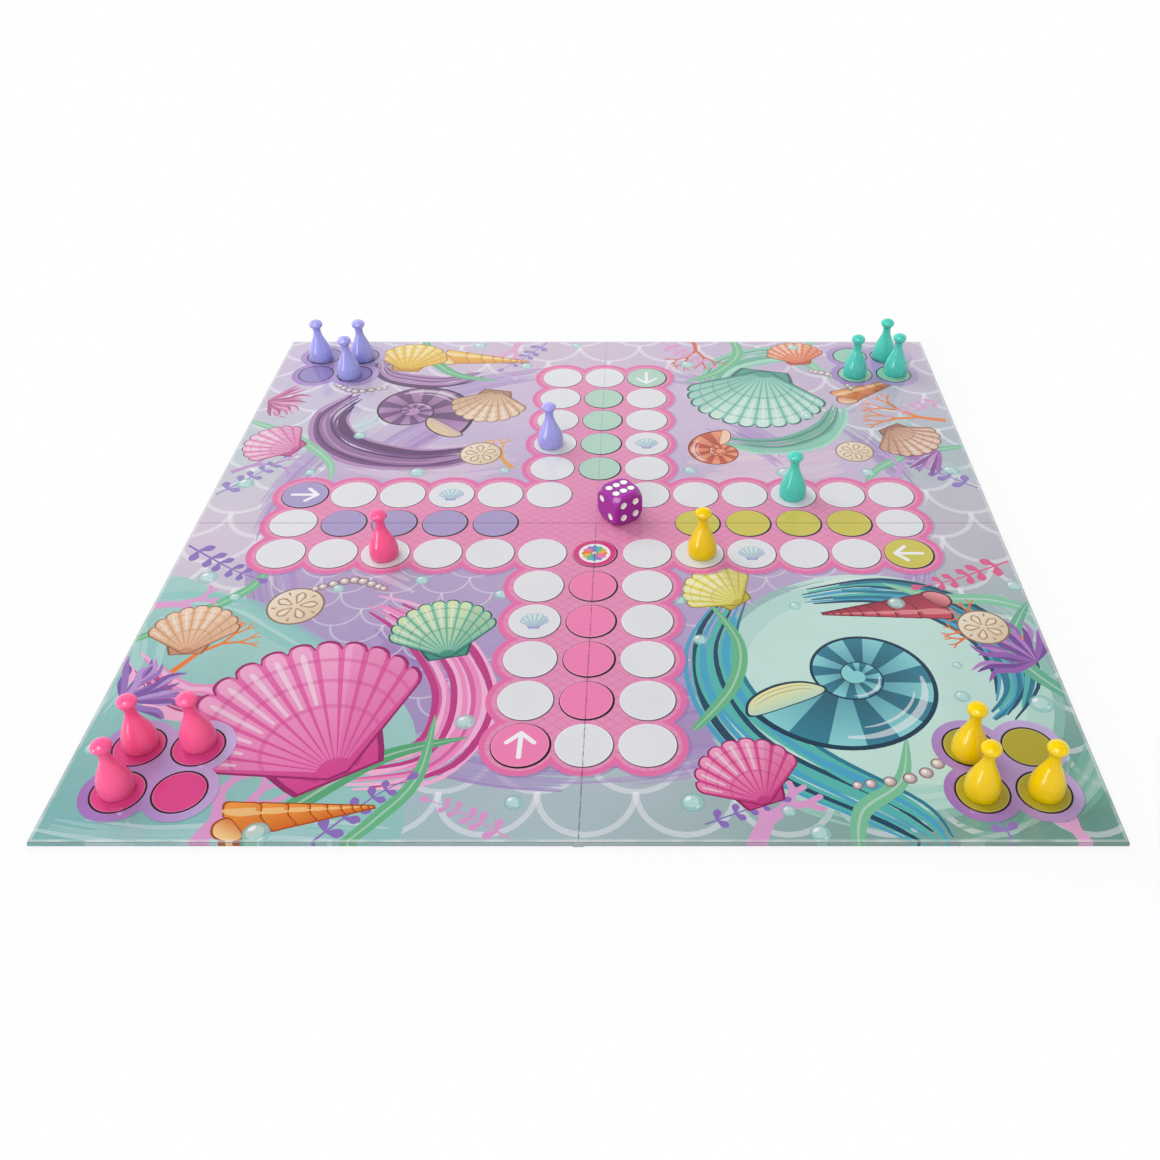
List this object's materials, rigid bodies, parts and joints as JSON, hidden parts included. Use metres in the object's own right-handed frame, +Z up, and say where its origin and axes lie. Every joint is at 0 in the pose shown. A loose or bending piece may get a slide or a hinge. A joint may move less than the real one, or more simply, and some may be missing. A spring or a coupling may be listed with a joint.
{
  "type": "folding board game",
  "caption": "Square quad-fold race-game board, open flat, with a printed cross track and corner homes, coloured plastic pawns standing on it and a rounded die.",
  "frame": {"origin": "middle of the open board's underside, on the table", "axes": "+X to the right and +Y to the back of the open board, +Z up"},
  "size_m": [0.38, 0.38, 0.0268],
  "materials": {
    "greyboard": "matte",
    "laminated_print": "gloss film over print",
    "back_paper": "matte",
    "hinge_tape": "fine woven tape",
    "purple_plastic": "moulded",
    "teal_plastic": "moulded",
    "pink_plastic": "moulded",
    "yellow_plastic": "moulded",
    "die_plastic": "polished",
    "pip_paint": "paint"
  },
  "bodies": {
    "rear_left": {"rear_left_core_board": "greyboard", "rear_left_print": "laminated_print", "rear_left_back_liner": "back_paper", "left_fold_tape_rear_leaf": "hinge_tape", "rear_fold_tape_left_leaf": "hinge_tape"},
    "rear_right": {"rear_right_core_board": "greyboard", "rear_right_print": "laminated_print", "rear_right_back_liner": "back_paper", "right_fold_tape_rear_leaf": "hinge_tape", "rear_fold_tape_right_leaf": "hinge_tape"},
    "front_left": {"front_left_core_board": "greyboard", "front_left_print": "laminated_print", "front_left_back_liner": "back_paper", "left_fold_tape_front_leaf": "hinge_tape"},
    "front_right": {"front_right_core_board": "greyboard", "front_right_print": "laminated_print", "front_right_back_liner": "back_paper", "right_fold_tape_front_leaf": "hinge_tape"},
    "purple_pawn_1": {"purple_pawn_1": "purple_plastic"},
    "purple_pawn_2": {"purple_pawn_2": "purple_plastic"},
    "purple_pawn_3": {"purple_pawn_3": "purple_plastic"},
    "purple_pawn_4": {"purple_pawn_4": "purple_plastic"},
    "teal_pawn_1": {"teal_pawn_1": "teal_plastic"},
    "teal_pawn_2": {"teal_pawn_2": "teal_plastic"},
    "teal_pawn_3": {"teal_pawn_3": "teal_plastic"},
    "teal_pawn_4": {"teal_pawn_4": "teal_plastic"},
    "pink_pawn_1": {"pink_pawn_1": "pink_plastic"},
    "pink_pawn_2": {"pink_pawn_2": "pink_plastic"},
    "pink_pawn_3": {"pink_pawn_3": "pink_plastic"},
    "pink_pawn_4": {"pink_pawn_4": "pink_plastic"},
    "yellow_pawn_1": {"yellow_pawn_1": "yellow_plastic"},
    "yellow_pawn_2": {"yellow_pawn_2": "yellow_plastic"},
    "yellow_pawn_3": {"yellow_pawn_3": "yellow_plastic"},
    "yellow_pawn_4": {"yellow_pawn_4": "yellow_plastic"},
    "die": {"die_body": "die_plastic", "die_pips": "pip_paint"}
  },
  "joints": [
    {"name": "left_side_fold", "type": "hinge", "parent": "rear_left", "child": "front_left", "pos_m": [-0.095, 0, -0.0001], "axis": [1, 0, 0], "range_deg": [0, 180]},
    {"name": "right_side_fold", "type": "hinge", "parent": "rear_right", "child": "front_right", "pos_m": [0.095, 0, -0.0001], "axis": [1, 0, 0], "range_deg": [0, 180]},
    {"name": "rear_fold", "type": "hinge", "parent": "rear_left", "child": "rear_right", "pos_m": [0, 0.095, 0.00205], "axis": [0, -1, 0], "range_deg": [0, 90]},
    {"name": "purple_pawn_1_lift", "type": "slide", "parent": "rear_left", "child": "purple_pawn_1", "axis": [0, 0, 1], "range_m": [0, 0.05]},
    {"name": "purple_pawn_2_lift", "type": "slide", "parent": "rear_left", "child": "purple_pawn_2", "axis": [0, 0, 1], "range_m": [0, 0.05]},
    {"name": "purple_pawn_3_lift", "type": "slide", "parent": "rear_left", "child": "purple_pawn_3", "axis": [0, 0, 1], "range_m": [0, 0.05]},
    {"name": "purple_pawn_4_lift", "type": "slide", "parent": "rear_left", "child": "purple_pawn_4", "axis": [0, 0, 1], "range_m": [0, 0.05]},
    {"name": "teal_pawn_1_lift", "type": "slide", "parent": "rear_right", "child": "teal_pawn_1", "axis": [0, 0, 1], "range_m": [0, 0.05]},
    {"name": "teal_pawn_2_lift", "type": "slide", "parent": "rear_right", "child": "teal_pawn_2", "axis": [0, 0, 1], "range_m": [0, 0.05]},
    {"name": "teal_pawn_3_lift", "type": "slide", "parent": "rear_right", "child": "teal_pawn_3", "axis": [0, 0, 1], "range_m": [0, 0.05]},
    {"name": "teal_pawn_4_lift", "type": "slide", "parent": "rear_right", "child": "teal_pawn_4", "axis": [0, 0, 1], "range_m": [0, 0.05]},
    {"name": "pink_pawn_1_lift", "type": "slide", "parent": "front_left", "child": "pink_pawn_1", "axis": [0, 0, 1], "range_m": [0, 0.05]},
    {"name": "pink_pawn_2_lift", "type": "slide", "parent": "front_left", "child": "pink_pawn_2", "axis": [0, 0, 1], "range_m": [0, 0.05]},
    {"name": "pink_pawn_3_lift", "type": "slide", "parent": "front_left", "child": "pink_pawn_3", "axis": [0, 0, 1], "range_m": [0, 0.05]},
    {"name": "pink_pawn_4_lift", "type": "slide", "parent": "front_left", "child": "pink_pawn_4", "axis": [0, 0, 1], "range_m": [0, 0.05]},
    {"name": "yellow_pawn_1_lift", "type": "slide", "parent": "front_right", "child": "yellow_pawn_1", "axis": [0, 0, 1], "range_m": [0, 0.05]},
    {"name": "yellow_pawn_2_lift", "type": "slide", "parent": "front_right", "child": "yellow_pawn_2", "axis": [0, 0, 1], "range_m": [0, 0.05]},
    {"name": "yellow_pawn_3_lift", "type": "slide", "parent": "front_right", "child": "yellow_pawn_3", "axis": [0, 0, 1], "range_m": [0, 0.05]},
    {"name": "yellow_pawn_4_lift", "type": "slide", "parent": "front_right", "child": "yellow_pawn_4", "axis": [0, 0, 1], "range_m": [0, 0.05]},
    {"name": "die_lift", "type": "slide", "parent": "rear_right", "child": "die", "axis": [0, 0, 1], "range_m": [0, 0.05]}
  ]
}
